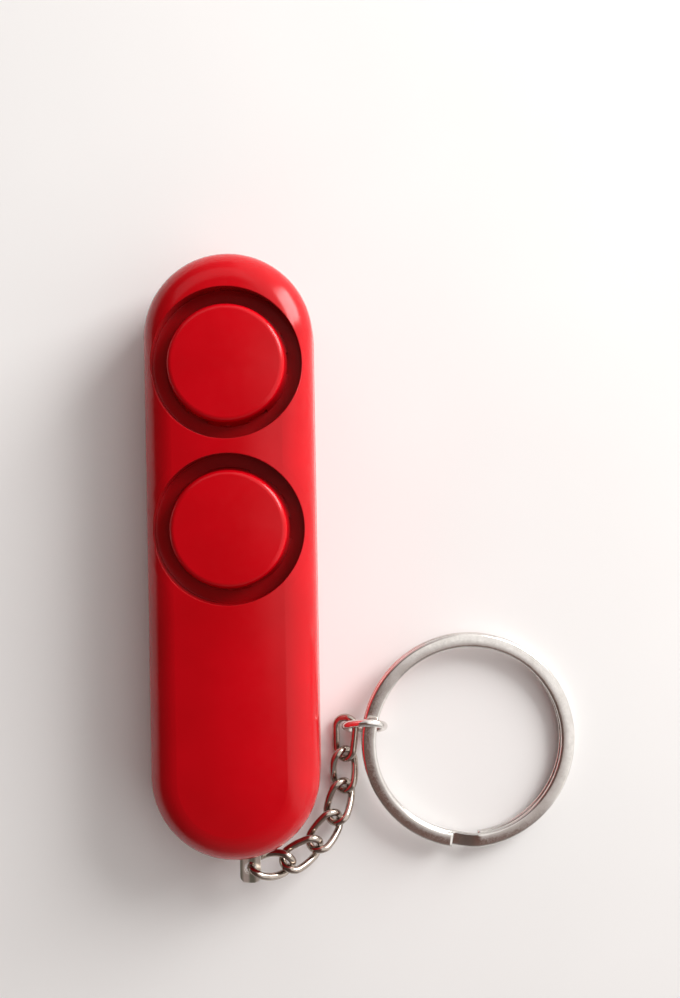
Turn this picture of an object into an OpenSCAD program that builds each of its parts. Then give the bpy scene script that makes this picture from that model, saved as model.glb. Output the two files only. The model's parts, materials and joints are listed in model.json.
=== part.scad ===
// Personal safety alarm with a pull pin on a curb chain and a split key ring.
// It lies on its back: +Z is the front face, +Y the sounder end, millimetres.
// The origin is the centre of the flat back face.

/* [Case] */
// Length of the case over its round ends
case_length = 86; // [80:1:96]
// Width of the case
case_width = 24; // [23:0.5:28]
// Height of the case from back face to crown
case_height = 15; // [14.5:0.25:18]
// Radius of the crown across the front
crown_radius = 60; // [45:5:120]
// Rounding of the front edge
front_edge = 5; // [4:0.25:5.5]
// Rounding of the back edge
back_edge = 3.5; // [2.5:0.25:4]
// Wall of both half shells
wall = 1.6; // [1.3:0.1:1.8]
// Height of the parting line and of the pull pin
parting = 6.5; // [6:0.25:7.5]
// Depth and height of the shadow gap along the parting line
seam = 0.25; // [0.15:0.05:0.4]
// Height of the locating lip on the rear half
lip_height = 1; // [0.6:0.1:1.4]

/* [Sounders] */
// Distance between the two sounder centres
sounder_pitch = 23; // [22.6:0.2:24]
// Distance from the top end to the upper sounder
sounder_from_top = 16; // [14.5:0.5:17]
// Diameter of the round recess
recess_diameter = 21; // [19.5:0.25:21.5]
// Depth of the recess floor below the crown
recess_depth = 3.6; // [3:0.2:4.2]
// Thickness of the recess floor
floor_thickness = 1.2; // [1:0.1:1.5]
// Sound hole in the recess floor
sound_hole = 13; // [10:0.5:13]
// Diameter of the cap at its rim
cap_diameter = 16.4; // [15.5:0.2:17]
// Flare of the cap skirt from rim to foot, on the radius
cap_draft = 0.5; // [0.2:0.1:0.7]
// Wall of the cap skirt
cap_wall = 1.4; // [1.2:0.1:1.6]
// Crown radius of the cap
cap_crown = 90; // [60:5:140]
// Rounding of the cap rim
cap_rim = 0.8; // [0.5:0.1:1]
// Sound notches in the cap skirt
notch_count = 6; // [4:1:8]
// Width of a sound notch
notch_width = 3; // [2:0.25:3.5]
// Height of a sound notch
notch_height = 1.3; // [0.8:0.1:1.6]
// Diameter of the brass sounder plate
plate_diameter = 20; // [18:0.5:20]
// Thickness of the brass sounder plate
plate_thickness = 0.25; // [0.2:0.05:0.35]
// Diameter of the ceramic disc
ceramic_diameter = 14; // [12:0.5:15]
// Thickness of the ceramic disc
ceramic_thickness = 0.25; // [0.2:0.05:0.35]

/* [Electronics] */
// Thickness of the circuit board
board_thickness = 1.2; // [0.8:0.2:1.6]
// Height of the board above the inside of the rear shell
board_lift = 2; // [1.6:0.1:2.4]
// Width of the circuit board
board_width = 18.6; // [17.8:0.2:19.2]
// Diameter of the transformer flanges
drum_diameter = 7; // [6:0.5:7.5]
// Height of the transformer
drum_height = 4; // [3.4:0.2:4.2]
// Diameter of the transformer neck
drum_neck = 3; // [2.4:0.2:3.4]
// Diameter of the capacitor can
capacitor_diameter = 4; // [3:0.5:5]
// Height of the capacitor can
capacitor_height = 4; // [3:0.25:4.2]
// Diameter of a resistor
resistor_diameter = 1.7; // [1.2:0.1:2]
// Length of a resistor
resistor_length = 4; // [3:0.25:4.5]
// Resistors in the row
resistor_count = 3; // [2:1:4]
// Diameter of the leads
lead_diameter = 0.8; // [0.6:0.1:1]

/* [Batteries] */
// Diameter of a button cell
cell_diameter = 11.6; // [10.8:0.2:11.6]
// Thickness of a button cell
cell_thickness = 5.4; // [4.8:0.1:5.6]
// Thickness of the contact strip
strip = 0.3; // [0.25:0.05:0.4]
// Height of the sprung nub on the negative contact
nub_height = 0.9; // [0.6:0.1:1.2]
// Wall of the battery bay
bay_wall = 1; // [0.8:0.1:1.1]
// Width of the battery door
door_width = 15; // [14.4:0.2:15.6]
// Thickness of the battery door
door_thickness = 0.8; // [0.7:0.05:0.9]
// Corner radius of the battery door
door_corner = 3; // [2:0.25:4]

/* [Fasteners] */
// Diameter of a case screw
screw_diameter = 2; // [1.8:0.1:2.2]
// Diameter of a screw head
screw_head = 3.4; // [3.2:0.1:3.6]
// Height of a screw head
screw_head_height = 1.2; // [1:0.1:1.4]
// Wall of a screw boss
boss_wall = 0.9; // [0.8:0.05:1]

/* [Pull pin] */
// Offset of the pin from the case axis
pin_offset = 1.6; // [1:0.1:1.8]
// Width of the pin tab and tongue
pin_width = 3; // [2.9:0.1:3.2]
// Thickness of the pin
pin_thickness = 0.8; // [0.7:0.05:0.9]
// Length of tab that stands out of the case
tab_length = 4.5; // [4.3:0.1:5.2]
// Rounding of the corners at the tip of the tab
tab_corner = 1; // [0.4:0.1:1.2]
// Diameter of the eye in the tab
eye_diameter = 1.8; // [1.7:0.05:1.9]
// Distance from the eye to the tip of the tab
eye_web = 1.2; // [0.9:0.1:1.4]
// Reach of the tongue into the case
tongue_reach = 9.8; // [8.5:0.1:10]
// Length of a switch leaf beyond its base
leaf_length = 6; // [4:0.5:6.5]

/* [Chain] */
// Wire of a chain link
link_wire = 1.1; // [1:0.05:1.15]
// Length of a link between its end wire centres
link_length = 6.2; // [5.9:0.05:6.3]
// Width of a link between its side wire centres
link_width = 3.24; // [3.2:0.02:3.4]
// Twist of a link from end to end
link_twist = 90; // [85:1:100]
// Angle at which the first link stands in the eye of the tab
eye_link_stand = 85; // [75:1:90]
// Angle at which the last link meets the connector
end_link_slope = 20; // [10:1:30]
// Play between the wires of two links
link_play = 0.3; // [0.25:0.05:0.4]
// Wire of the connector link
connector_wire = 1.1; // [1:0.05:1.2]
// Inside length of the connector link
connector_length = 4.7; // [4.6:0.1:5.2]
// Inside width of the connector link
connector_width = 4; // [3.9:0.1:4.4]

/* [Key ring] */
// Outside diameter of the split ring
ring_diameter = 32; // [30:0.5:34]
// Radial width of the ring wire
ring_band = 2.1; // [1.8:0.1:2.2]
// Thickness of one coil of the ring
coil_thickness = 0.8; // [0.7:0.05:0.9]
// Gap between the two coils
coil_gap = 0.42; // [0.41:0.01:0.5]

/* [Hidden] */
$fn = 96;
wire_sides = 10;
link_rings = 36;
coil_rings = 132;
slack = 0.1;
running_gap = 0.2;
eps = 0.02;

red = [0.75, 0.03, 0.07];
steel = [0.75, 0.75, 0.77];
brass = [0.80, 0.66, 0.35];
dark = [0.13, 0.13, 0.14];

// Case section
half_width = case_width / 2;
end_y = case_length / 2 - half_width;
front_corner_x = half_width - front_edge;
front_corner_z = corner_height(case_height, crown_radius, front_edge, front_corner_x);
back_corner_x = half_width - back_edge;
inside_z = wall;

// Sounders
upper_y = case_length / 2 - sounder_from_top;
lower_y = upper_y - sounder_pitch;
floor_top = case_height - recess_depth;
floor_bottom = floor_top - floor_thickness;
cap_foot_radius = cap_diameter / 2 + cap_draft;
cap_rim_x = cap_diameter / 2 - cap_rim;
cap_rim_z = corner_height(case_height, cap_crown, cap_rim, cap_rim_x);
cap_top_wall = 2;
peg_diameter = cap_wall - slack;
peg_circle = cap_foot_radius - cap_wall / 2;
peg_count = 3;
plate_bottom = floor_bottom - plate_thickness;
ceramic_bottom = plate_bottom - ceramic_thickness;

// Battery bay, from the sounder well towards the pin
well_wall = 1.2;
bay_end_wall = 1.2;
bay_top_y = lower_y - recess_diameter / 2 - well_wall - bay_end_wall - slack;
cell_count = 3;
bay_length = cell_count * cell_thickness + 2 * strip + nub_height + 2 * slack;
bay_bottom_y = bay_top_y - bay_length;
cell_step = 0.5;
cell_cap_share = 0.8;
contact_margin = 1.3;
contact_size = cell_diameter - 2 * contact_margin;
contact_tail = 2;
nub_radius = 2.4;
bay_half_width = cell_diameter / 2 + 3 * slack;
bay_rim = 8;
cell_z = inside_z + cell_diameter / 2 + slack;
cells_top_y = bay_top_y - strip - slack;

// Switch base, placed from the tip of the tongue
case_bottom_y = -case_length / 2;
tongue_tip_y = case_bottom_y + tongue_reach;
tongue_gap = 1.5;
base_depth = 3.1;
base_front_y = tongue_tip_y + tongue_gap;
base_back_y = base_front_y + base_depth;

// Battery door, with its screw boss under the switch base
door_plug_edge = 1;
door_boss_drop = 2.3;
door_overlap = 0.4;
door_boss_step = 1.4;
door_rim = 0.9;
door_boss_extra = 0.6;
door_thread_end = 0.5;
door_top_y = bay_top_y + door_overlap;
door_screw_y = base_front_y + door_boss_step;
door_bottom_y = door_screw_y - screw_head / 2 - door_rim;
door_top_recess = door_thickness + slack;
door_screw_top = parting - door_boss_drop;

// Fasteners
boss_radius = screw_diameter / 2 + slack + boss_wall;
head_clear = screw_head / 2 + slack;
case_screw_cover = 3.6;
case_screw_top = case_height - case_screw_cover;
screw_sink = 0.8;
cross_share = 0.55;
cross_width = 0.4;
mid_screw_y = (upper_y + lower_y) / 2;
board_rim = 0.7;
mid_screw_x = board_width / 2 - board_rim - boss_radius - running_gap;
pin_boss_gap = 0.3;
end_screw_x = pin_offset + pin_width / 2 + boss_radius + pin_boss_gap;
end_screw_y = door_bottom_y - head_clear - door_rim;
case_screw_spots = [[-mid_screw_x, mid_screw_y], [mid_screw_x, mid_screw_y],
                    [-end_screw_x, end_screw_y], [end_screw_x, end_screw_y]];

// Circuit board
board_bottom = inside_z + board_lift;
board_top = board_bottom + board_thickness;
board_low_gap = 0.6;
board_end_gap = 4;
board_low_y = lower_y - recess_diameter / 2 - well_wall + board_low_gap;
board_high_y = case_length / 2 - wall - board_end_gap;
board_post = 3.2;
post_inset = 3.3;
post_step = 6;
post_drop = 8;
post_x = board_width / 2 - post_inset;
post_high_y = upper_y + post_step;
post_low_y = lower_y - post_drop;
board_posts = [[-post_x, post_high_y], [post_x, post_high_y], [-post_x, post_low_y], [post_x, post_low_y]];
brass_lead_reach = (plate_diameter + ceramic_diameter) / 4;
ceramic_lead_reach = ceramic_diameter / 4;

// Pull pin and switch
tab_tip_y = case_bottom_y - tab_length;
eye_y = tab_tip_y + eye_web + eye_diameter / 2;
tab_inside = 1;
tab_root_y = case_bottom_y + wall + tab_inside;
lap_length = 1.6;
base_width = 5;
base_height = 4.6;
leaf_width = 2.4;
leaf_gap = 0.1;
leaf_tip_y = base_front_y - leaf_length;
lead_x = bay_half_width + bay_wall + lead_diameter / 2 + 2 * running_gap;
lead_z = bay_rim + lead_diameter;

// Chain, link by link: heading in plan, descent below the horizontal
link_half = link_length / 2;
link_reach = link_half - (link_wire + link_play) / 2;
headings = [4, 26.5, 49.5, 73, 88, 86];
descents = [9, 20.5, 21.4, 11, 0, -3];
link_count = len(headings);
eye_rise = 0.2;
eye = [pin_offset, eye_y, parting + eye_rise];
function heading_of(i) = [cos(descents[i]) * cos(headings[i]),
                          cos(descents[i]) * sin(headings[i]), -sin(descents[i])];
function lead_in(i) = i == 0 ? link_half : link_reach;
function joint(i) = i == 0 ? eye : link_centre(i - 1) + link_reach * heading_of(i - 1);
function link_centre(i) = joint(i) + lead_in(i) * heading_of(i);
echo(link_hinges = [for (i = [0 : link_count - 1]) joint(i)]);
function near_twist(i) = i == 0 ? -eye_link_stand : -link_twist / 2;
function far_twist(i) = i == link_count - 1 ? -end_link_slope : link_twist / 2;

// Connector: its near end wire passes through the last link, its far end holds the ring
connector_heading = 11;
connector_rise = 28;
connector_lean = 25;
connector_play = 0.48;
connector_shift = 0.32;
connector_half = (connector_length + connector_wire) / 2;
last = link_count - 1;
last_side = [sin(headings[last]), -cos(headings[last]), 0];
near_wire = link_centre(last) + last_side * connector_shift
  + (link_half - (link_wire + connector_wire) / 2 - connector_play) * heading_of(last);
connector_run = [cos(connector_rise) * cos(connector_heading),
                 cos(connector_rise) * sin(connector_heading), sin(connector_rise)];
connector_up = [-sin(connector_rise) * cos(connector_lean) * cos(connector_heading)
                - sin(connector_lean) * sin(connector_heading),
                -sin(connector_rise) * cos(connector_lean) * sin(connector_heading)
                + sin(connector_lean) * cos(connector_heading),
                cos(connector_rise) * cos(connector_lean)];
connector_centre = near_wire + connector_half * connector_run;

// Ring: it rests on its far side and its near side is lifted by the connector
ring_lift = 2.25;
ring_heading = -9.6;
ring_reach = 3.6;
ring_height = 2 * coil_thickness + coil_gap;
ring_mean = (ring_diameter - ring_band) / 2;
ring_tilt = asin(ring_lift / ring_diameter);
ring_z = ring_height / 2 * cos(ring_tilt) + ring_diameter / 2 * sin(ring_tilt);
band_z = ring_z + ring_mean * sin(ring_tilt);
band_up = (band_z - near_wire.z - ring_reach * connector_run.z) / connector_up.z;
band_centre = near_wire + ring_reach * connector_run + band_up * connector_up;
echo(connector_hinge = near_wire, ring_hinge = band_centre);
ring_centre = [band_centre.x + ring_mean * cos(ring_tilt) * cos(ring_heading),
               band_centre.y + ring_mean * cos(ring_tilt) * sin(ring_heading), ring_z];

// Height of the centre of an edge rounding that is tangent to a crown
function corner_height(top, crown, edge, x) = top - crown + sqrt(pow(crown - edge, 2) - x * x);
function unit(v) = v / norm(v);

// Crown of a section between the centres of its two edge roundings
module crown_cap(top, crown, x, z, inset) {
  spread = unit([x, z - top + crown]) * 2 * (top - z);
  intersection() {
    translate([0, top - crown]) circle(crown - inset, $fn = 4 * $fn);
    polygon([[-x, z], [x, z], [x + spread.x, z + spread.y], [-x - spread.x, z + spread.y]]);
  }
}

// Cross-section of the case, drawn in by an inset
module case_section(inset) {
  translate([inset - half_width, back_edge])
    square([case_width - 2 * inset, front_corner_z - back_edge]);
  translate([-back_corner_x, inset]) square([2 * back_corner_x, back_edge - inset + eps]);
  for (side = [-1, 1]) {
    translate([side * back_corner_x, back_edge]) circle(back_edge - inset);
    translate([side * front_corner_x, front_corner_z]) circle(front_edge - inset);
  }
  crown_cap(case_height, crown_radius, front_corner_x, front_corner_z, inset);
}

// Capsule-shaped case body, drawn in by an inset
module case_body(inset) {
  rotate([90, 0, 0]) linear_extrude(2 * end_y, center = true) case_section(inset);
  for (turn = [0, 180])
    rotate(turn) translate([0, end_y, 0]) rotate_extrude(angle = 180) intersection() {
      case_section(inset);
      square([case_width, 2 * case_height]);
    }
}

// Straight-sided capsule in plan, drawn in by an inset
module plan_body(inset, low, high) {
  translate([0, 0, low]) linear_extrude(high - low) {
    square([case_width - 2 * inset, 2 * end_y], center = true);
    for (side = [-1, 1]) translate([0, side * end_y]) circle(half_width - inset);
  }
}

// Everything between two heights
module slab(low, high) {
  translate([-case_width, -case_length, low]) cube([2 * case_width, 2 * case_length, high - low]);
}

module post(spot, low, high, radius) {
  translate([spot.x, spot.y, low]) cylinder(high - low, r = radius);
}

module round_plate(width, low_y, high_y, low_z, high_z, corner) {
  translate([0, 0, low_z]) linear_extrude(high_z - low_z) {
    translate([-width / 2, low_y + corner]) square([width, high_y - low_y - 2 * corner]);
    translate([corner - width / 2, low_y]) square([width - 2 * corner, high_y - low_y]);
    for (x = [corner - width / 2, width / 2 - corner], y = [low_y + corner, high_y - corner])
      translate([x, y]) circle(corner);
  }
}

// Slot through both shells for the pull pin
module pin_passage() {
  gap = running_gap;
  translate([pin_offset - pin_width / 2 - gap, case_bottom_y - 1, parting - pin_thickness / 2 - gap])
    cube([pin_width + 2 * gap, wall + 4, pin_thickness + 2 * gap]);
}

// Front half of the case with the two sounder wells and the screw bosses
module front_shell() {
  color(red) difference() {
    union() {
      intersection() {
        difference() {
          case_body(0);
          case_body(wall);
        }
        slab(parting, case_height + 1);
      }
      intersection() {
        case_body(0);
        for (y = [upper_y, lower_y])
          post([0, y], floor_bottom, case_height + 1, recess_diameter / 2 + well_wall);
      }
      intersection() {
        case_body(wall / 2);
        for (spot = case_screw_spots) post(spot, parting + eps, case_height, boss_radius);
      }
    }
    for (y = [upper_y, lower_y]) {
      post([0, y], floor_top, case_height + 1, recess_diameter / 2);
      post([0, y], floor_bottom - 1, floor_top + 1, sound_hole / 2);
      post([0, y], plate_bottom - plate_thickness, floor_bottom, plate_diameter / 2 + slack);
      for (i = [0 : peg_count - 1]) translate([0, y, 0]) rotate(peg_angle(i))
        post([peg_circle, 0], floor_bottom - 1, floor_top + 1, cap_wall / 2);
    }
    difference() {
      plan_body(wall / 2, parting - 1, parting + lip_height + slack);
      plan_body(wall + slack, parting - 2, parting + lip_height + 1);
    }
    difference() {
      plan_body(-1, parting - 1, parting + seam);
      plan_body(seam, parting - 2, parting + seam + 1);
    }
    for (spot = case_screw_spots)
      post(spot, parting - 1, case_screw_top + slack, screw_diameter / 2 + slack / 2);
    pin_passage();
  }
}

function peg_angle(i) = 30 + 360 * i / peg_count;

// Rear half with locating lip, battery bay, board posts and screw bosses
module rear_shell() {
  color(red * 0.92) difference() {
    union() {
      intersection() {
        difference() {
          case_body(0);
          case_body(wall);
        }
        slab(-1, parting);
      }
      difference() {
        plan_body(wall / 2 + slack, parting - 1, parting + lip_height);
        plan_body(wall, parting - 2, parting + lip_height + 1);
      }
      intersection() {
        case_body(wall / 2);
        union() {
          for (spot = case_screw_spots) post(spot, 0, parting, boss_radius);
          for (spot = board_posts) post(spot, 0, board_bottom, board_post / 2);
          post([0, door_screw_y], 0, door_screw_top, boss_radius + door_boss_extra);
          battery_bay();
        }
      }
    }
    door_opening();
    for (spot = case_screw_spots) {
      post(spot, -1, parting + 1, screw_diameter / 2 + slack);
      post(spot, -1, screw_sink + screw_head_height + slack, head_clear);
    }
    post([0, door_screw_y], -1, door_screw_top - door_thread_end, screw_diameter / 2 + slack / 2);
    pin_passage();
  }
}

// Side and end walls that hold the row of cells
module battery_bay() {
  for (side = [-1, 1])
    translate([side * (bay_half_width + bay_wall / 2), (bay_top_y + bay_bottom_y) / 2, bay_rim / 2])
      cube([bay_wall, bay_length + 2 * bay_end_wall, bay_rim], center = true);
  for (y = [bay_top_y, bay_bottom_y - bay_end_wall])
    translate([-bay_half_width - bay_wall, y, 0])
      cube([2 * (bay_half_width + bay_wall), bay_end_wall, bay_rim]);
}

// Recess for the door plate and the hole that the cells pass through
module door_opening() {
  round_plate(door_width + 2 * running_gap, door_bottom_y - running_gap, door_top_y + running_gap,
              -1, door_top_recess, door_corner);
  translate([-bay_half_width, bay_bottom_y + door_plug_edge, -1])
    cube([2 * bay_half_width, bay_length - 2 * door_plug_edge, inside_z + 1 + eps]);
}

// Battery door with its locating plug and two hooks
module battery_door() {
  hook = [2, 1, 0.8];
  hook_x = 4.4;
  hook_z = inside_z + slack / 2;
  plug_x = bay_half_width - running_gap;
  plug_low = bay_bottom_y + door_plug_edge + running_gap;
  plug_high = bay_top_y - door_plug_edge - running_gap;
  color(red * 0.92) difference() {
    union() {
      round_plate(door_width, door_bottom_y, door_top_y, slack, slack + door_thickness - eps, door_corner);
      translate([-plug_x, plug_low, door_thickness / 2])
        cube([2 * plug_x, plug_high - plug_low, inside_z - door_thickness / 2]);
      for (side = [-1, 1]) translate([side * hook_x - hook.x / 2, plug_high - hook.y, 0]) {
        translate([0, 0, hook_z]) cube([hook.x, hook.y + door_plug_edge, hook.z]);
        translate([0, 0, inside_z / 2]) cube([hook.x, hook.y, hook_z + hook.z - inside_z / 2]);
      }
    }
    translate([0, (bay_top_y + bay_bottom_y) / 2, cell_z]) rotate([90, 0, 0])
      cylinder(bay_length, r = cell_diameter / 2 + slack / 2, center = true);
    post([0, door_screw_y], -1, door_thickness + 1, screw_diameter / 2 + slack);
    post([0, door_screw_y], -1, slack + door_thickness / 2, head_clear);
  }
}

// Pan-head screw with a cross recess, head down
module screw(spot, head_z, head_height, top) {
  difference() {
    union() {
      post(spot, head_z, head_z + head_height, screw_head / 2);
      post(spot, head_z, top, screw_diameter / 2);
    }
    for (turn = [0, 90]) translate([spot.x, spot.y, head_z]) rotate(turn)
      cube([screw_head * cross_share, cross_width, head_height], center = true);
  }
}

module door_screw() {
  screw_top = door_screw_top - door_thread_end - running_gap;
  color(steel) screw([0, door_screw_y], slack, door_thickness / 2, screw_top);
}

module case_screws() {
  color(steel) for (spot = case_screw_spots)
    screw(spot, screw_sink, screw_head_height, case_screw_top);
}

// Domed cap over one sounder, on a notched skirt with three pegs
module sounder_cap(y) {
  inner_top = case_height - cap_top_wall;
  color(red) translate([0, y, 0]) difference() {
    union() {
      rotate_extrude() difference() {
        intersection() {
          union() {
            polygon([[0, floor_top], [cap_foot_radius, floor_top],
                     [cap_diameter / 2, cap_rim_z], [0, cap_rim_z]]);
            translate([cap_rim_x, cap_rim_z]) circle(cap_rim);
            crown_cap(case_height, cap_crown, cap_rim_x, cap_rim_z, 0);
          }
          square([case_width, 2 * case_height]);
        }
        polygon([[-1, floor_top - 1], [cap_foot_radius - cap_wall, floor_top - 1],
                 [cap_foot_radius - cap_wall, floor_top + 1],
                 [cap_diameter / 2 - cap_wall, inner_top], [-1, inner_top]]);
      }
      for (i = [0 : peg_count - 1]) rotate(peg_angle(i))
        post([peg_circle, 0], floor_bottom + slack, floor_top + 1, peg_diameter / 2);
    }
    for (i = [0 : notch_count - 1]) rotate(360 * i / notch_count)
      translate([cap_foot_radius, 0, floor_top])
        cube([3 * cap_wall, notch_width, 2 * notch_height], center = true);
  }
}

module sounder_cap_upper() { sounder_cap(upper_y); }
module sounder_cap_lower() { sounder_cap(lower_y); }

module piezo_plate(y) {
  color(brass) post([0, y], plate_bottom, floor_bottom, plate_diameter / 2);
}

module piezo_plate_upper() { piezo_plate(upper_y); }
module piezo_plate_lower() { piezo_plate(lower_y); }

module piezo_ceramic(y) {
  color("ivory") post([0, y], ceramic_bottom, plate_bottom, ceramic_diameter / 2);
}

module piezo_ceramic_upper() { piezo_ceramic(upper_y); }
module piezo_ceramic_lower() { piezo_ceramic(lower_y); }

// One lead to the brass plate and one to the ceramic disc
module piezo_leads(y) {
  color(dark) {
    post([-brass_lead_reach, y], board_top, plate_bottom, lead_diameter / 2);
    post([ceramic_lead_reach, y], board_top, ceramic_bottom, lead_diameter / 2);
  }
}

module piezo_leads_upper() { piezo_leads(upper_y); }
module piezo_leads_lower() { piezo_leads(lower_y); }

// Board with a round top end and notches round the middle screw bosses
module circuit_board() {
  color("darkgreen") difference() {
    translate([0, 0, board_bottom]) linear_extrude(board_thickness) {
      translate([-board_width / 2, board_low_y])
        square([board_width, board_high_y - board_width / 2 - board_low_y]);
      translate([0, board_high_y - board_width / 2]) circle(board_width / 2);
    }
    for (side = [-1, 1])
      post([side * mid_screw_x, mid_screw_y], 0, case_height, boss_radius + running_gap);
  }
}

drum_flange = 0.8;
winding_inset = 0.4;

// Ferrite drum of the step-up transformer
module transformer_core() {
  color(dark) translate([0, mid_screw_y, board_top]) {
    cylinder(drum_flange, d = drum_diameter);
    cylinder(drum_height, d = drum_neck);
    translate([0, 0, drum_height - drum_flange]) cylinder(drum_flange, d = drum_diameter);
  }
}

module transformer_winding() {
  color("peru") translate([0, mid_screw_y, board_top + drum_flange]) difference() {
    cylinder(drum_height - 2 * drum_flange, d = drum_diameter - 2 * winding_inset);
    translate([0, 0, -drum_flange]) cylinder(drum_height, d = drum_neck);
  }
}

// Dome of resin over the controller die
module controller_blob() {
  blob_radius = 3;
  blob_height = 1.3;
  color(dark) intersection() {
    translate([0, upper_y, board_top + blob_height - blob_radius]) sphere(blob_radius);
    slab(board_top, case_height);
  }
}

module drive_transistor() {
  body = [4.5, 2.6, 1.7];
  spot = [2.4, lower_y - 5.4];
  color(dark) translate([spot.x, spot.y, board_top]) cube(body);
}

module resistors() {
  row = [-6.4, lower_y + 1.2];
  spacing = resistor_diameter + 0.6;
  color("tan") for (i = [0 : resistor_count - 1])
    translate([row.x, row.y + i * spacing, board_top + resistor_diameter / 2])
      rotate([0, 90, 0]) cylinder(resistor_length, d = resistor_diameter);
}

module capacitor() {
  spot = [-5, lower_y - 4.4];
  color("midnightblue") translate([spot.x, spot.y, board_top])
    cylinder(capacitor_height, d = capacitor_diameter);
}

// Button cell with its smaller negative cap towards the pin
module button_cell(i) {
  top_y = cells_top_y - i * cell_thickness;
  color("silver") translate([0, top_y, cell_z]) rotate([90, 0, 0]) {
    cylinder(cell_thickness - cell_step, d = cell_diameter);
    cylinder(cell_thickness, d = cell_diameter * cell_cap_share);
  }
}

module button_cell_1() { button_cell(0); }
module button_cell_2() { button_cell(1); }
module button_cell_3() { button_cell(2); }

// Flat contact at the top of the bay, with a tail down to the board
module battery_contact_positive() {
  board_y = board_low_y + board_low_gap + running_gap;
  color(brass) {
    translate([-contact_size / 2, bay_top_y - strip, cell_z - contact_size / 2])
      cube([contact_size, strip, contact_size]);
    translate([-contact_tail / 2, bay_top_y - strip, bay_rim])
      cube([contact_tail, board_y - bay_top_y + strip, strip]);
    translate([-contact_tail / 2, board_y - strip, board_top])
      cube([contact_tail, strip, bay_rim + strip - board_top]);
  }
}

// Sprung contact at the bottom of the bay, with a tail down to the lower leaf
module battery_contact_negative() {
  tail_x = pin_offset - contact_tail / 2;
  tail_y = bay_bottom_y - bay_end_wall - strip;
  color(brass) {
    translate([-contact_size / 2, bay_bottom_y, cell_z - contact_size / 2])
      cube([contact_size, strip, contact_size]);
    translate([0, bay_bottom_y + strip, cell_z]) rotate([-90, 0, 0])
      cylinder(nub_height, r1 = nub_radius, r2 = nub_radius / 2);
    translate([tail_x, tail_y, bay_rim])
      cube([contact_tail, bay_end_wall + 2 * strip, strip]);
    translate([tail_x, tail_y, leaf_low()])
      cube([contact_tail, strip, bay_rim + strip - leaf_low()]);
  }
}

function leaf_low() = parting - pin_thickness / 2 - leaf_gap - strip;
function leaf_high() = parting + pin_thickness / 2 + leaf_gap;

// Moulded block that grips the two switch leaves, on the door screw boss
module switch_base() {
  color(dark) difference() {
    translate([pin_offset - base_width / 2, base_front_y, door_screw_top])
      cube([base_width, base_back_y - base_front_y, base_height]);
    for (z = [leaf_low(), leaf_high()])
      translate([pin_offset - leaf_width / 2, base_front_y - 1, z])
        cube([leaf_width, base_back_y - base_front_y + 2, strip]);
  }
}

module switch_leaf(z, back_y) {
  color(brass) translate([pin_offset - leaf_width / 2, leaf_tip_y, z])
    cube([leaf_width, back_y - leaf_tip_y, strip]);
}

module switch_contact_upper() { switch_leaf(leaf_high(), base_back_y); }
module switch_contact_lower() { switch_leaf(leaf_low(), bay_bottom_y - bay_end_wall - strip); }

// Insulated lead from the upper leaf along the bay to the board
module switch_lead() {
  start = [pin_offset, base_front_y - lead_diameter, leaf_high() + strip + lead_diameter / 2];
  board_spot = [lead_x, board_low_y + 2 * (board_low_gap + lead_diameter / 2), board_top];
  route = [start, [start.x, start.y, lead_z], [lead_x, start.y, lead_z],
           [lead_x, board_spot.y, lead_z], board_spot];
  color("firebrick") intersection() {
    for (i = [0 : len(route) - 2]) rod(route[i], route[i + 1], lead_diameter / 2);
    slab(board_top, case_height);
  }
}

// Round rod between two points with ball ends
module rod(from, to, radius) {
  run = to - from;
  translate(from) {
    sphere(radius, $fn = 24);
    rotate([0, acos(run.z / norm(run)), atan2(run.y, run.x)]) cylinder(norm(run), r = radius);
  }
}

// Steel tab with its eye, passing through the case wall
module pull_tab() {
  half = pin_width / 2;
  inner = half - tab_corner;
  color(steel) difference() {
    translate([pin_offset, 0, parting - pin_thickness / 2]) linear_extrude(pin_thickness) {
      for (side = [-1, 1])
        translate([side * inner, tab_tip_y + tab_corner]) circle(tab_corner);
      translate([-inner, tab_tip_y]) square([2 * inner, 2 * tab_corner]);
      translate([-half, tab_tip_y + tab_corner])
        square([pin_width, tab_root_y + lap_length - tab_tip_y - tab_corner]);
    }
    post([pin_offset, eye_y], parting - pin_thickness, parting + pin_thickness, eye_diameter / 2);
    translate([pin_offset - pin_width, tab_root_y, parting])
      cube([2 * pin_width, lap_length + 1, pin_thickness]);
  }
}

// Insulating tongue that parts the switch leaves, lapped on the tab
module pin_tongue() {
  color(dark) difference() {
    translate([pin_offset - pin_width / 2, tab_root_y, parting - pin_thickness / 2])
      cube([pin_width, tongue_tip_y - tab_root_y, pin_thickness]);
    translate([pin_offset - pin_width, tab_root_y - 1, parting - pin_thickness])
      cube([2 * pin_width, lap_length + 1, pin_thickness]);
    for (side = [-1, 1]) translate([pin_offset + side * pin_width / 2, tongue_tip_y, parting])
      rotate(45) cube([1, 1, 2 * pin_thickness], center = true);
  }
}

// Oval centreline of a link by distance run along it
function oval_point(s, half, radius) =
  let (straight = 2 * (half - radius), arc = PI * radius, x = half - radius)
  s < straight ? [s - x, -radius] :
  s < straight + arc ? let (t = (s - straight) / radius * 180 / PI)
    [x + radius * sin(t), -radius * cos(t)] :
  s < 2 * straight + arc ? [x - (s - straight - arc), radius] :
  let (t = (s - 2 * straight - arc) / radius * 180 / PI)
    [-x - radius * sin(t), radius * cos(t)];

function oval_length(half, radius) = 4 * (half - radius) + 2 * PI * radius;

// The oval twisted about its long axis from one end to the other
function twisted_point(s, near, far) =
  let (p = oval_point(s, link_half, link_width / 2),
       turn = near + (far - near) * (p.x / link_half + 1) / 2)
  [p.x, p.y * cos(turn), p.y * sin(turn)];

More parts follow.
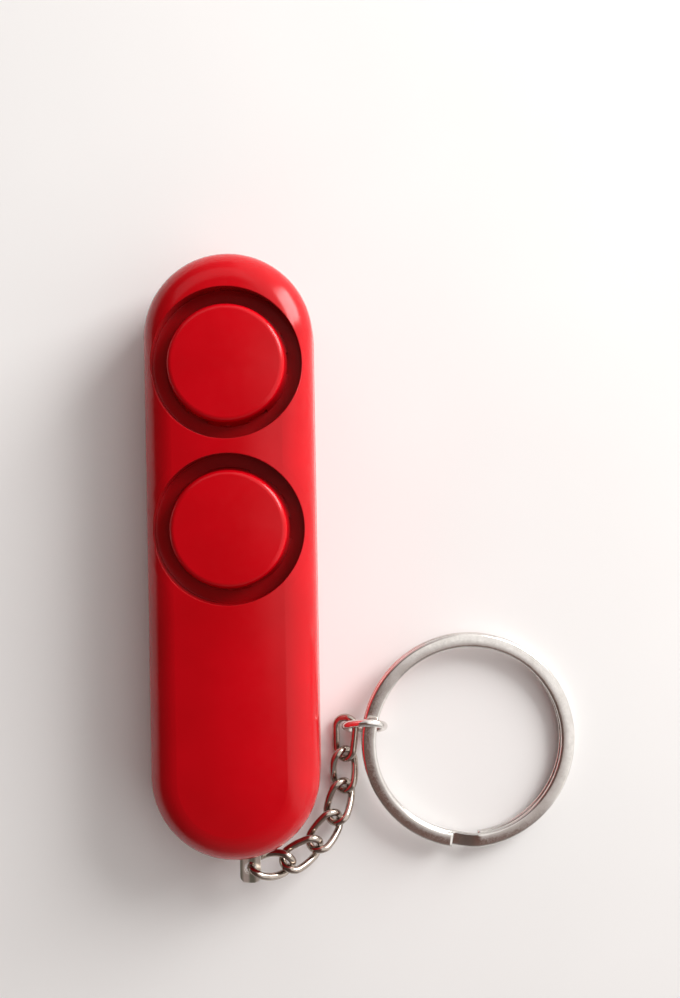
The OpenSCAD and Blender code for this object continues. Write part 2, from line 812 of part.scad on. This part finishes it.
// Closed tube of round wire along a closed centreline
module closed_tube(path, radius, sides) {
  count = len(path);
  points = [for (i = [0 : count - 1])
    let (along = unit(path[(i + 1) % count] - path[(i + count - 1) % count]),
         out = unit(path[i] - along * (path[i] * along)), up = cross(along, out))
    for (j = [0 : sides - 1])
      path[i] + radius * (cos(360 * j / sides) * out + sin(360 * j / sides) * up)];
  faces = [for (i = [0 : count - 1], j = [0 : sides - 1])
    let (a = i * sides + j, b = i * sides + (j + 1) % sides,
         c = ((i + 1) % count) * sides + (j + 1) % sides, d = ((i + 1) % count) * sides + j)
    each [[a, b, c], [a, c, d]]];
  polyhedron(points, [for (f = faces) [f[0], f[2], f[1]]]);
}

// One twisted curb link in its place along the chain
module chain_link(i) {
  run = oval_length(link_half, link_width / 2);
  path = [for (k = [0 : link_rings - 1])
    twisted_point(run * k / link_rings, near_twist(i), far_twist(i))];
  color(steel) translate(link_centre(i)) rotate([0, descents[i], headings[i]])
    closed_tube(path, link_wire / 2, wire_sides);
}

// Plain oval link round the end of the chain and the ring
module connector_link() {
  end_radius = connector_width / 2 + connector_wire / 2;
  straight = connector_length - connector_width;
  stand = [-connector_lean, -connector_rise, connector_heading];
  color(steel) translate(connector_centre) rotate(stand) rotate([90, 0, 0]) {
    for (turn = [0, 180]) rotate(turn) translate([straight / 2, 0, 0]) rotate(-90)
      rotate_extrude(angle = 180) translate([end_radius, 0]) circle(d = connector_wire, $fn = 32);
    for (side = [-1, 1]) translate([-straight / 2, side * end_radius, 0]) rotate([0, 90, 0])
      cylinder(straight, d = connector_wire, $fn = 32);
  }
}

// Centreline of the ring wire: two turns with a jog where one steps up to the other
jog = 16;
jog_place = -75;
two_turns = 720;
coil_rise = coil_thickness + coil_gap;
coil_end = two_turns - jog;
function coil_angle(i) = coil_end * i / coil_rings;
function coil_climb(t) = min(1, max(0, (t - 360 + jog) / jog));
function coil_z(t) = coil_rise * (pow(coil_climb(t), 2) * (3 - 2 * coil_climb(t)) - 0.5);
function coil_point(i) =
  let (t = coil_angle(i)) [ring_mean * cos(t), ring_mean * sin(t), coil_z(t)];
turn_rings = floor(coil_rings * (360 - jog) / coil_end);
coil_steps = [for (i = [0 : coil_rings - turn_rings], k = [i + turn_rings : coil_rings])
  norm(coil_point(k) - coil_point(i))];
echo(least_gap_between_coils = min(coil_steps) - coil_thickness);

module split_ring() {
  chamfer = 0.25;
  w = ring_band / 2;
  h = coil_thickness / 2;
  section = [[w, chamfer - h], [w, h - chamfer], [w - chamfer, h], [chamfer - w, h],
             [-w, h - chamfer], [-w, chamfer - h], [chamfer - w, -h], [w - chamfer, -h]];
  sides = len(section);
  points = [for (i = [0 : coil_rings])
    let (t = coil_angle(i))
    for (p = section) [(ring_mean + p.x) * cos(t), (ring_mean + p.x) * sin(t), coil_z(t) + p.y]];
  sides_faces = [for (i = [0 : coil_rings - 1], j = [0 : sides - 1])
    let (a = i * sides + j, b = i * sides + (j + 1) % sides, c = b + sides, d = a + sides)
    each [[a, b, c], [a, c, d]]];
  ends = [for (j = [1 : sides - 2]) each [[0, j + 1, j],
    [coil_rings * sides, coil_rings * sides + j, coil_rings * sides + j + 1]]];
  color(steel) translate(ring_centre) rotate([0, ring_tilt, ring_heading]) rotate(jog_place)
    polyhedron(points, [for (f = concat(sides_faces, ends)) [f[0], f[2], f[1]]]);
}

front_shell();
rear_shell();
battery_door();
door_screw();
case_screws();
sounder_cap_upper();
sounder_cap_lower();
piezo_plate_upper();
piezo_plate_lower();
piezo_ceramic_upper();
piezo_ceramic_lower();
piezo_leads_upper();
piezo_leads_lower();
circuit_board();
transformer_core();
transformer_winding();
controller_blob();
drive_transistor();
resistors();
capacitor();
button_cell_1();
button_cell_2();
button_cell_3();
battery_contact_positive();
battery_contact_negative();
switch_base();
switch_contact_upper();
switch_contact_lower();
switch_lead();
pull_tab();
pin_tongue();
for (i = [1 : link_count])
  chain_link(i - 1);
connector_link();
split_ring();
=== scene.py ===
"""Looks of a personal safety alarm with a curb chain and a split key ring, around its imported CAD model."""
import json
import math

import bpy
from mathutils import Matrix, Vector


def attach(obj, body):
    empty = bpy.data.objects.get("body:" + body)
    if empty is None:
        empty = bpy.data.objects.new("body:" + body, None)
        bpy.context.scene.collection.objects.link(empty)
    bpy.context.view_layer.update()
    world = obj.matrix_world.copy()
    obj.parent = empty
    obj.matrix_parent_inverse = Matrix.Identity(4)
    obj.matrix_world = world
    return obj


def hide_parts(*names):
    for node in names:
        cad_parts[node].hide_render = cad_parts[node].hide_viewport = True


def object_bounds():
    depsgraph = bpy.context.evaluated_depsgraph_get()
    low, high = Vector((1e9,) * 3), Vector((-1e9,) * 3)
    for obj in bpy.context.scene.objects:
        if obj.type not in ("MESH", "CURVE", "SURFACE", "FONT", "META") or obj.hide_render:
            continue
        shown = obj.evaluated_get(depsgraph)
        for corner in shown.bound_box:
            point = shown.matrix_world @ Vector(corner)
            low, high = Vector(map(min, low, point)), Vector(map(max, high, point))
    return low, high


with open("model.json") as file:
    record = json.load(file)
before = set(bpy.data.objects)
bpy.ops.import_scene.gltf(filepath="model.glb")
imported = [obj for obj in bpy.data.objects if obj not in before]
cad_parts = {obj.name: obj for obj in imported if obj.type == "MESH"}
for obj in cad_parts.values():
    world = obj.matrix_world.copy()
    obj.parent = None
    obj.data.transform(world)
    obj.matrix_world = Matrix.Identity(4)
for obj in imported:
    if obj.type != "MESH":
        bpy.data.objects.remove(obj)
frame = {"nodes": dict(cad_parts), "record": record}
cad_low, cad_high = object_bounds()

MM = 0.001
HINGES = {joint["name"]: Vector(joint["pos_m"]) / MM for joint in frame["record"]["behaviour"]["joints"]}

# Camera: straight above the part, a little turned, as the photograph was taken
CAMERA_PLACE = (15.5, 7.9, 160.0)
CAMERA_TURN = -1.0
SENSOR = 36.0
FOCAL_PIXELS = 1056.0
FRAME_HEIGHT = 998.0
NEAR_CLIP, FAR_CLIP = 0.005, 10.0

camera_data = bpy.data.cameras.new("camera")
camera_data.sensor_fit = "AUTO"
camera_data.sensor_width = SENSOR
camera_data.lens = SENSOR * FOCAL_PIXELS / FRAME_HEIGHT
camera_data.clip_start = NEAR_CLIP
camera_data.clip_end = FAR_CLIP
camera = bpy.data.objects.new("camera", camera_data)
camera.location = Vector(CAMERA_PLACE) * MM
camera.rotation_euler = (0.0, 0.0, math.radians(CAMERA_TURN))
bpy.context.scene.collection.objects.link(camera)
bpy.context.scene.camera = camera
bpy.context.scene.view_settings.view_transform = "Standard"


# Colours and node trees

def srgb(r, g, b):
    """A colour given as eight-bit sRGB, in linear values."""
    def channel(v):
        v = v / 255.0
        return v / 12.92 if v <= 0.04045 else ((v + 0.055) / 1.055) ** 2.4
    return (channel(r), channel(g), channel(b), 1.0)


class Nodes:
    """Short calls for the nodes of one shader tree."""

    # Colour sockets of a mix node
    MIX_LOW, MIX_HIGH, MIX_RESULT = 6, 7, 2

    def __init__(self, tree, coordinates):
        self.tree = tree
        self.coordinates = self.node("ShaderNodeTexCoord").outputs[coordinates]

    def node(self, kind, **settings):
        """A new node with some settings of its own."""
        node = self.tree.nodes.new(kind)
        for key, value in settings.items():
            setattr(node, key, value)
        return node

    def put(self, value, socket):
        """Links an output to a socket, or gives the socket a fixed value."""
        if isinstance(value, bpy.types.NodeSocket):
            self.tree.links.new(value, socket)
        else:
            socket.default_value = value

    def axis(self, name):
        """One axis of the coordinates."""
        node = self.node("ShaderNodeSeparateXYZ")
        self.put(self.coordinates, node.inputs["Vector"])
        return node.outputs[name]

    def maths(self, operation, a, b, kind="ShaderNodeMath"):
        """A number worked out from two others, or with the other kind of node from two vectors."""
        node = self.node(kind, operation=operation)
        self.put(a, node.inputs[0])
        self.put(b, node.inputs[1])
        return node.outputs["Value"]

    def between(self, value, start, end, low=0.0, high=1.0, interpolation="LINEAR"):
        """A value that goes from low to high while another goes from start to end."""
        node = self.node("ShaderNodeMapRange", interpolation_type=interpolation)
        node.inputs["From Min"].default_value = start
        node.inputs["From Max"].default_value = end
        node.inputs["To Min"].default_value = low
        node.inputs["To Max"].default_value = high
        self.put(value, node.inputs["Value"])
        return node.outputs["Result"]

    def eased(self, value, start, end):
        """A share that goes smoothly from 0 at one value to 1 at the other."""
        return self.between(value, start, end, interpolation="SMOOTHSTEP")

    def ramp(self, value, stops):
        """A colour by a value, from stops of a place and a colour."""
        node = self.node("ShaderNodeValToRGB")
        elements = node.color_ramp.elements
        while len(elements) < len(stops):
            elements.new(0.5)
        for element, (place, colour) in zip(elements, stops):
            element.position = place
            element.color = colour
        self.put(value, node.inputs["Fac"])
        return node.outputs["Color"]

    def mixed(self, share, low, high):
        """From one colour to the other by a share."""
        node = self.node("ShaderNodeMix", data_type="RGBA")
        self.put(share, node.inputs["Factor"])
        self.put(low, node.inputs[self.MIX_LOW])
        self.put(high, node.inputs[self.MIX_HIGH])
        return node.outputs[self.MIX_RESULT]


# Materials

# Where painted shade darkens the red, standing in for the shade down in the recesses: the wells of the front
# and the skirts of the caps
WELL_ROWS = (27.0, 4.0)
WELL_RADIUS = 10.5
WELL_FADE_OUT, WELL_FADE_IN = 0.1, 0.06
SKIRT_TOP, SKIRT_DEEP = 14.2, 13.4

COAT_ROUGHNESS = 0.06
BEVEL_SAMPLES = 6
# Part of its range that a noise mostly keeps to
NOISE_LOW, NOISE_HIGH = 0.3, 0.7
# Radians that a wave texture runs through in one unit of scaled length
WAVE_RADIANS = 20.0


class Graph(Nodes):
    """A new material with its shader, in the coordinates of the part."""

    def __init__(self, name, metallic=0.0, coat=0.0, specular=0.5):
        self.material = bpy.data.materials.new(name)
        self.material.use_nodes = True
        super().__init__(self.material.node_tree, "Object")
        self.shader = self.tree.nodes["Principled BSDF"]
        self.shader.inputs["Metallic"].default_value = metallic
        self.shader.inputs["Coat Weight"].default_value = coat
        self.shader.inputs["Coat Roughness"].default_value = COAT_ROUGHNESS
        self.shader.inputs["Specular IOR Level"].default_value = specular

    def placed(self, stretch):
        """Coordinates stretched by a factor on each axis."""
        node = self.node("ShaderNodeMapping")
        node.inputs["Scale"].default_value = stretch
        self.put(self.coordinates, node.inputs["Vector"])
        return node.outputs["Vector"]

    def noise(self, per_mm, detail=3.0, stretch=(1, 1, 1)):
        """Noise with a number of swells in a millimetre."""
        node = self.node("ShaderNodeTexNoise")
        node.inputs["Scale"].default_value = per_mm / MM
        node.inputs["Detail"].default_value = detail
        self.put(self.placed(stretch), node.inputs["Vector"])
        return node.outputs["Fac"]

    def bands(self, per_mm, axis, distortion=0.0):
        """Bands across one axis, a number of them in a millimetre."""
        node = self.node("ShaderNodeTexWave", bands_direction=axis)
        node.inputs["Scale"].default_value = per_mm / MM / WAVE_RADIANS * 2.0 * math.pi
        node.inputs["Distortion"].default_value = distortion
        self.put(self.coordinates, node.inputs["Vector"])
        return node.outputs["Fac"]

    def spread(self, noise, low, high):
        """A noise spread over a new range."""
        return self.between(noise, NOISE_LOW, NOISE_HIGH, low, high)

    def painted_shade_in_wells(self):
        """Share of painted shade: 1 inside the two round wells of the front, where the red is darkened to
        stand for their shade.
        """
        flat = self.placed((1, 1, 0))
        upper, lower = [self.maths("DISTANCE", flat, (0.0, y * MM, 0.0), "ShaderNodeVectorMath")
                        for y in WELL_ROWS]
        nearest = self.maths("MINIMUM", upper, lower)
        return self.eased(nearest, (WELL_RADIUS + WELL_FADE_OUT) * MM, (WELL_RADIUS - WELL_FADE_IN) * MM)

    def painted_shade_on_skirt(self):
        """Share of painted shade: 1 on the skirt of a cap, below its rounded rim, where the red is darkened
        to stand for the shade in the well.
        """
        return self.eased(self.axis("Z"), SKIRT_TOP * MM, SKIRT_DEEP * MM)

    def finish(self, colour, roughness, height=None, depth_mm=0.01, strength=0.3, edge_mm=0.0):
        """The material with its colour, roughness, relief and softened edges in place."""
        self.put(colour, self.shader.inputs["Base Color"])
        self.put(roughness, self.shader.inputs["Roughness"])
        normal = None
        if edge_mm:
            bevel = self.node("ShaderNodeBevel", samples=BEVEL_SAMPLES)
            bevel.inputs["Radius"].default_value = edge_mm * MM
            normal = bevel.outputs["Normal"]
        if height is not None:
            bump = self.node("ShaderNodeBump")
            bump.inputs["Strength"].default_value = strength
            bump.inputs["Distance"].default_value = depth_mm * MM
            self.put(height, bump.inputs["Height"])
            if normal is not None:
                self.put(normal, bump.inputs["Normal"])
            normal = bump.outputs["Normal"]
        if normal is not None:
            self.put(normal, self.shader.inputs["Normal"])
        return self.material


# Painted shade: the darker red that stands in for the shade in the wells and on the cap skirts
PAINTED_SHADE_RED = srgb(156, 1, 10)


def moulded(name, deep, bright, rough, grain, strength, coat=0.0, edge_mm=0.0, specular=0.5, painted_shade=None):
    """Injection-moulded plastic: slow colour drift, fine surface grain, soft edges, and painted shade where
    a mask is given.
    """
    g = Graph(name, coat=coat, specular=specular)
    colour = g.ramp(g.noise(per_mm=0.09, detail=2.0), [(0.35, deep), (0.65, bright)])
    # Painted shade: the colour goes over to the darker red where the mask is 1
    if painted_shade:
        colour = g.mixed(painted_shade(g), colour, PAINTED_SHADE_RED)
    roughness = g.spread(g.noise(per_mm=0.8, detail=4.0), *rough)
    return g.finish(colour, roughness, g.noise(grain), depth_mm=0.02, strength=strength, edge_mm=edge_mm)


def metal(name, deep, bright, rough, lines_per_mm, strength, stretch=(1, 1, 1)):
    """Metal with fine drawn or brushed lines along one axis."""
    g = Graph(name, metallic=1.0)
    colour = g.ramp(g.noise(per_mm=0.6), [(0.3, deep), (0.7, bright)])
    lines = g.noise(lines_per_mm, detail=4.0, stretch=stretch)
    return g.finish(colour, g.spread(lines, *rough), lines, strength=strength, edge_mm=0.1)


# The case and the caps carry painted shade: darker red in the wells and on the cap skirts
case_red = moulded("case_red", srgb(182, 1, 13), srgb(192, 2, 17), rough=(0.15, 0.22), grain=1.6,
                   strength=0.03, edge_mm=0.22, specular=0.3, painted_shade=Graph.painted_shade_in_wells)
cap_red = moulded("cap_red", srgb(188, 1, 14), srgb(198, 2, 18), rough=(0.17, 0.24), grain=1.8,
                  strength=0.03, specular=0.3, painted_shade=Graph.painted_shade_on_skirt)
rear_red = moulded("rear_red", srgb(178, 2, 15), srgb(188, 3, 18), rough=(0.38, 0.5), grain=5.0,
                   strength=0.25, edge_mm=0.2)
ceramic = moulded("ceramic", srgb(222, 214, 196), srgb(234, 228, 212), rough=(0.5, 0.7), grain=6.0,
                  strength=0.2, edge_mm=0.05)
sleeve = moulded("sleeve", srgb(24, 24, 26), srgb(34, 34, 36), rough=(0.4, 0.6), grain=4.0, strength=0.15)
ferrite = moulded("ferrite", srgb(44, 43, 44), srgb(58, 56, 56), rough=(0.5, 0.75), grain=5.0,
                  strength=0.3, edge_mm=0.08)
resin = moulded("resin", srgb(16, 16, 17), srgb(26, 26, 27), rough=(0.18, 0.35), grain=0.8,
                strength=0.2, coat=0.2)
black_plastic = moulded("black_plastic", srgb(22, 22, 23), srgb(32, 32, 33), rough=(0.4, 0.6), grain=5.0,
                        strength=0.2, edge_mm=0.1)
lead_red = moulded("lead_red", srgb(150, 18, 18), srgb(168, 26, 24), rough=(0.35, 0.5), grain=4.0,
                   strength=0.12)

nickel = metal("nickel", srgb(220, 215, 210), srgb(232, 228, 224), rough=(0.10, 0.22),
               lines_per_mm=3.0, strength=0.05)
chain_nickel = metal("chain_nickel", srgb(166, 153, 143), srgb(190, 179, 169), rough=(0.07, 0.16),
                     lines_per_mm=3.0, strength=0.05)
screw_steel = metal("screw_steel", srgb(170, 170, 172), srgb(200, 200, 204), rough=(0.2, 0.4),
                    lines_per_mm=3.0, strength=0.1, stretch=(4, 4, 1))
cell_steel = metal("cell_steel", srgb(188, 188, 190), srgb(210, 210, 212), rough=(0.14, 0.3),
                   lines_per_mm=2.0, strength=0.06, stretch=(1, 8, 1))
brass = metal("brass", srgb(196, 158, 78), srgb(214, 178, 98), rough=(0.2, 0.4),
              lines_per_mm=2.0, strength=0.1, stretch=(4, 1, 4))


def tab_steel():
    """Rolled strip with painted reflection: wide light and dark bands along its length."""
    g = Graph("tab_steel", metallic=1.0)
    # Painted reflection: wide bands of light and dark that stand in for the room reflected in the strip
    painted_reflection_bands = g.bands(per_mm=0.55, axis="X", distortion=0.4)
    colour = g.ramp(painted_reflection_bands, [(0.2, srgb(160, 164, 150)), (0.8, srgb(246, 242, 234))])
    lines = g.noise(per_mm=2.0, detail=4.0, stretch=(6, 0.3, 6))
    return g.finish(colour, g.spread(lines, 0.3, 0.5), lines, strength=0.15, edge_mm=0.15)


def board_green():
    """Green solder mask with the raised lines of the tracks under it."""
    g = Graph("board_green", coat=0.3)
    tracks = g.bands(per_mm=0.7, axis="X", distortion=1.5)
    colour = g.ramp(tracks, [(0.45, srgb(16, 70, 40)), (0.6, srgb(34, 104, 60))])
    roughness = g.spread(g.noise(per_mm=2.0), 0.25, 0.4)
    return g.finish(colour, roughness, tracks, depth_mm=0.04, strength=0.4, edge_mm=0.1)


def wound_copper():
    """Turns of enamelled wire round the drum."""
    g = Graph("wound_copper", metallic=0.8, coat=0.4)
    turns = g.bands(per_mm=5.0, axis="Z")
    colour = g.ramp(turns, [(0.1, srgb(112, 52, 24)), (0.8, srgb(190, 104, 58))])
    roughness = g.spread(g.noise(per_mm=2.0), 0.25, 0.4)
    return g.finish(colour, roughness, turns, depth_mm=0.1, strength=0.8)


def banded_resistor():
    """Tan resistor bodies with code rings."""
    g = Graph("banded_resistor", coat=0.2)
    tan, brown = srgb(202, 170, 122), srgb(92, 50, 26)
    colour = g.ramp(g.bands(per_mm=0.9, axis="X"), [(0.78, tan), (0.86, brown)])
    roughness = g.spread(g.noise(per_mm=2.0), 0.3, 0.45)
    return g.finish(colour, roughness, g.noise(per_mm=3.0), depth_mm=0.02, strength=0.15, edge_mm=0.15)


def can_sleeve():
    """Shrunk sleeve of the capacitor with its lighter stripe."""
    g = Graph("can_sleeve", coat=0.3)
    dark, pale = srgb(22, 26, 66), srgb(150, 156, 178)
    colour = g.ramp(g.bands(per_mm=0.25, axis="X"), [(0.86, dark), (0.9, pale)])
    roughness = g.spread(g.noise(per_mm=1.5), 0.2, 0.35)
    return g.finish(colour, roughness, g.noise(per_mm=2.5), depth_mm=0.02, strength=0.12, edge_mm=0.15)


def floor_card():
    """Pale matt card."""
    g = Graph("floor_card")
    drift = g.noise(per_mm=0.02, detail=2.0)
    colour = g.ramp(drift, [(0.3, srgb(240, 239, 238)), (0.7, srgb(244, 243, 242))])
    return g.finish(colour, g.spread(g.noise(per_mm=0.3, detail=2.0), 0.75, 0.9))


# Every node that isn't named here is bright nickel
LOOKS = {
    "front_shell": case_red, "rear_shell": rear_red, "battery_door": rear_red,
    "door_screw": screw_steel, "case_screws": screw_steel,
    "sounder_cap_upper": cap_red, "sounder_cap_lower": cap_red,
    "piezo_plate_upper": brass, "piezo_plate_lower": brass,
    "piezo_ceramic_upper": ceramic, "piezo_ceramic_lower": ceramic,
    "piezo_leads_upper": sleeve, "piezo_leads_lower": sleeve,
    "circuit_board": board_green(), "transformer_core": ferrite,
    "transformer_winding": wound_copper(), "controller_blob": resin,
    "drive_transistor": black_plastic, "resistors": banded_resistor(), "capacitor": can_sleeve(),
    "button_cell_1": cell_steel, "button_cell_2": cell_steel, "button_cell_3": cell_steel,
    "battery_contact_positive": brass, "battery_contact_negative": brass,
    "switch_base": black_plastic, "switch_contact_upper": brass, "switch_contact_lower": brass,
    "switch_lead": lead_red, "pull_tab": tab_steel(), "pin_tongue": black_plastic,
}
for name, node in frame["nodes"].items():
    for place in node.material_slots:
        place.material = LOOKS.get(name, nickel)


# Pieces

def new_piece(name, points, faces, material, body):
    """A smooth-shaded mesh piece, given in millimetres, that rides on a body."""
    mesh = bpy.data.meshes.new(name)
    mesh.from_pydata([tuple(p * MM) for p in points], [], faces)
    mesh.polygons.foreach_set("use_smooth", [True] * len(mesh.polygons))
    mesh.materials.append(material)
    mesh.validate()
    piece = bpy.data.objects.new(name, mesh)
    bpy.context.scene.collection.objects.link(piece)
    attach(piece, body)
    return piece


def turned(degrees, axis):
    """A turn about one axis."""
    return Matrix.Rotation(math.radians(degrees), 3, axis)


def closed_tube(path, centre, radius, sides):
    """Points and faces of a round wire along a closed path round a centre."""
    points, faces, count = [], [], len(path)
    for i, p in enumerate(path):
        along = (path[(i + 1) % count] - path[i - 1]).normalized()
        out = p - centre
        out = (out - along * out.dot(along)).normalized()
        up = along.cross(out)
        for j in range(sides):
            turn = 2 * math.pi * j / sides
            points.append(p + radius * (math.cos(turn) * out + math.sin(turn) * up))
    for i in range(count):
        near, far = i * sides, (i + 1) % count * sides
        for j in range(sides):
            k = (j + 1) % sides
            faces.append((near + k, far + k, far + j, near + j))
    return points, faces


# Chain: the links of the CAD model at a finer step, with the mean thickness of their ten-sided wire
CAD_WIRE, LINK_WIRE, LINK_PLAY = 1.1, 1.07, 0.3
LINK_HALF, LINK_RADIUS = 3.1, 1.62
LINK_REACH = LINK_HALF - (CAD_WIRE + LINK_PLAY) / 2
HEADINGS = (4, 26.5, 49.5, 73, 88, 86)
DESCENTS = (9, 20.5, 21.4, 11, 0, -3)
LINK_TWIST, EYE_LINK_STAND, END_LINK_SLOPE = 90, 85, 20
LINK_STEPS, LINK_SIDES = 132, 20


def oval(step):
    """Point on a link's flat oval by distance run along it."""
    x = LINK_HALF - LINK_RADIUS
    straight, arc = 2 * x, math.pi * LINK_RADIUS
    if step < straight:
        return step - x, -LINK_RADIUS
    if step < straight + arc:
        t = (step - straight) / LINK_RADIUS
        return x + LINK_RADIUS * math.sin(t), -LINK_RADIUS * math.cos(t)
    if step < 2 * straight + arc:
        return x - (step - straight - arc), LINK_RADIUS
    t = (step - 2 * straight - arc) / LINK_RADIUS
    return -x - LINK_RADIUS * math.sin(t), LINK_RADIUS * math.cos(t)


def link_path(near, far):
    """Centreline of a link that is twisted from one angle at its near end to another at its far end."""
    run = 4 * (LINK_HALF - LINK_RADIUS) + 2 * math.pi * LINK_RADIUS
    path = []
    for k in range(LINK_STEPS):
        x, y = oval(run * k / LINK_STEPS)
        twist = math.radians(near + (far - near) * (x / LINK_HALF + 1) / 2)
        path.append(Vector((x, y * math.cos(twist), y * math.sin(twist))))
    return path


def make_chain():
    """The twisted links, one after another from the eye of the pull pin."""
    joint = HINGES["link_1_swing"]
    last = len(HEADINGS) - 1
    for i, (heading, descent) in enumerate(zip(HEADINGS, DESCENTS)):
        turn = turned(heading, "Z") @ turned(descent, "Y")
        ahead = turn @ Vector((1, 0, 0))
        centre = joint + ahead * (LINK_HALF if i == 0 else LINK_REACH)
        near = -EYE_LINK_STAND if i == 0 else -LINK_TWIST / 2
        far = -END_LINK_SLOPE if i == last else LINK_TWIST / 2
        path = [centre + turn @ p for p in link_path(near, far)]
        points, faces = closed_tube(path, centre, LINK_WIRE / 2, LINK_SIDES)
        name = f"chain_link_{i + 1}"
        piece = new_piece(f"wire_link_{i + 1}", points, faces, chain_nickel, f"link_{i + 1}")
        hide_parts(name)
        joint = centre + ahead * LINK_REACH


make_chain()

# Split ring: two turns of flat wire with rounded edges, resting on its far side and lifted at its near one
RING_DIAMETER, RING_BAND, RING_LIFT = 32.0, 2.1, 2.25
COIL, COIL_GAP = 0.8, 0.42
RING_HEADING, JOG_PLACE, JOG = -9.6, -75.0, 16.0
RING_STEPS, CORNER_STEPS, CORNER = 464, 6, 0.4
RING_MEAN = (RING_DIAMETER - RING_BAND) / 2
RING_TILT = math.degrees(math.asin(RING_LIFT / RING_DIAMETER))
COIL_RISE = COIL + COIL_GAP
COIL_END = 2 * 360 - JOG


def ring_centre():
    """Centre of the ring, from the hinge in the middle of its band."""
    tilt, heading = math.radians(RING_TILT), math.radians(RING_HEADING)
    hinge = HINGES["ring_lift"]
    reach = RING_MEAN * math.cos(tilt)
    half_height = (COIL + COIL_RISE) / 2
    return Vector((hinge.x + reach * math.cos(heading), hinge.y + reach * math.sin(heading),
                   half_height * math.cos(tilt) + RING_DIAMETER / 2 * math.sin(tilt)))


def ring_section():
    """Outline of the flat wire with its corners rounded."""
    section = []
    for x, y, start in ((1, 1, 0), (-1, 1, 90), (-1, -1, 180), (1, -1, 270)):
        for k in range(CORNER_STEPS + 1):
            t = math.radians(start + 90 * k / CORNER_STEPS)
            section.append((x * (RING_BAND / 2 - CORNER) + CORNER * math.cos(t),
                            y * (COIL / 2 - CORNER) + CORNER * math.sin(t)))
    return section


def make_ring():
    """The ring as one wire that steps up from its first turn to its second over the jog."""
    section, centre = ring_section(), ring_centre()
    turn = turned(RING_HEADING, "Z") @ turned(RING_TILT, "Y") @ turned(JOG_PLACE, "Z")
    points, faces, sides = [], [], len(section)
    for i in range(RING_STEPS + 1):
        angle = COIL_END * i / RING_STEPS
        climb = min(1.0, max(0.0, (angle - 360 + JOG) / JOG))
        rise = COIL_RISE * (climb * climb * (3 - 2 * climb) - 0.5)
        c, s = math.cos(math.radians(angle)), math.sin(math.radians(angle))
        for x, y in section:
            radius = RING_MEAN + x
            points.append(centre + turn @ Vector((radius * c, radius * s, rise + y)))
    for i in range(RING_STEPS):
        for j in range(sides):
            a, b = i * sides + j, i * sides + (j + 1) % sides
            faces.append((b, b + sides, a + sides, a))
    faces.append(tuple(reversed(range(sides))))
    faces.append(tuple(range(RING_STEPS * sides, (RING_STEPS + 1) * sides)))
    piece = new_piece("flat_wire_ring", points, faces, nickel, "key_ring")
    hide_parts("split_ring")


make_ring()

# Floor, just under the part
FLOOR_HALF, FLOOR_DROP = 1.2, 0.00002
FLOOR_CORNERS = ((-1, -1), (1, -1), (1, 1), (-1, 1))

floor_z = min(cad_low.z, 0.0) - FLOOR_DROP
floor_points = [(x * FLOOR_HALF, y * FLOOR_HALF, floor_z) for x, y in FLOOR_CORNERS]
floor_mesh = bpy.data.meshes.new("floor")
floor_mesh.from_pydata(floor_points, [], [(0, 1, 2, 3)])
floor_mesh.materials.append(floor_card())
floor = bpy.data.objects.new("floor", floor_mesh)
bpy.context.scene.collection.objects.link(floor)


# Light: a window at the upper right and a weak fill, in metres and watts

def area_light(name, place, aim, size, watts, colour):
    """A rectangular lamp that faces a point."""
    data = bpy.data.lights.new(name, "AREA")
    data.shape = "RECTANGLE"
    data.size, data.size_y = size
    data.energy = watts
    data.color = colour
    lamp = bpy.data.objects.new(name, data)
    lamp.location = place
    lamp.rotation_euler = (Vector(aim) - Vector(place)).to_track_quat("-Z", "Y").to_euler()
    bpy.context.scene.collection.objects.link(lamp)


area_light("window", place=(0.40, 0.30, 0.20), aim=(0.01, 0.0, 0.005), size=(0.26, 0.40), watts=3.9,
           colour=(1.0, 0.99, 0.98))
area_light("fill", place=(-0.10, 0.30, 0.26), aim=(0.01, 0.0, 0.0), size=(0.3, 0.2), watts=0.12,
           colour=(0.97, 0.98, 1.0))

# World: a room with a dark warm ceiling and a darker left side, and a bright sky that the metal reflects
CEILING = [(0.0, (0.80, 0.78, 0.77, 1.0)), (0.55, (0.72, 0.68, 0.66, 1.0)),
           (0.84, (0.44, 0.29, 0.25, 1.0)), (0.97, (0.34, 0.185, 0.155, 1.0))]
LEFT_SIDE, LEFT_FADE = (0.24, 0.18, 0.16, 1.0), (-0.7, 0.0)
SKY, SKY_EDGE = (2.6, 2.55, 2.5, 1.0), (-0.04, 0.14)
SKY_SLOPE, SKY_START = (2.78, 3.125, 0.0), 0.583
SKY_RISE = [(0.30, 0.0), (0.5, 0.40), (0.7, 0.75), (0.86, 1.0)]
WORLD_STRENGTH = 0.44


def make_world():
    """The world's colour by direction."""
    world = bpy.data.worlds.new("studio")
    bpy.context.scene.world = world
    world.use_nodes = True
    sky = Nodes(world.node_tree, "Generated")
    room = sky.mixed(sky.eased(sky.axis("X"), *LEFT_FADE), LEFT_SIDE, sky.ramp(sky.axis("Z"), CEILING))
    along = sky.maths("DOT_PRODUCT", sky.coordinates, SKY_SLOPE, "ShaderNodeVectorMath")
    stops = [(place, (v, v, v, 1.0)) for place, v in SKY_RISE]
    rising = sky.ramp(sky.maths("ADD", along, SKY_START), stops)
    skylight = sky.maths("MULTIPLY", sky.eased(sky.axis("X"), *SKY_EDGE), rising)
    background = sky.tree.nodes["Background"]
    sky.put(sky.mixed(skylight, room, SKY), background.inputs["Color"])
    background.inputs["Strength"].default_value = WORLD_STRENGTH


make_world()
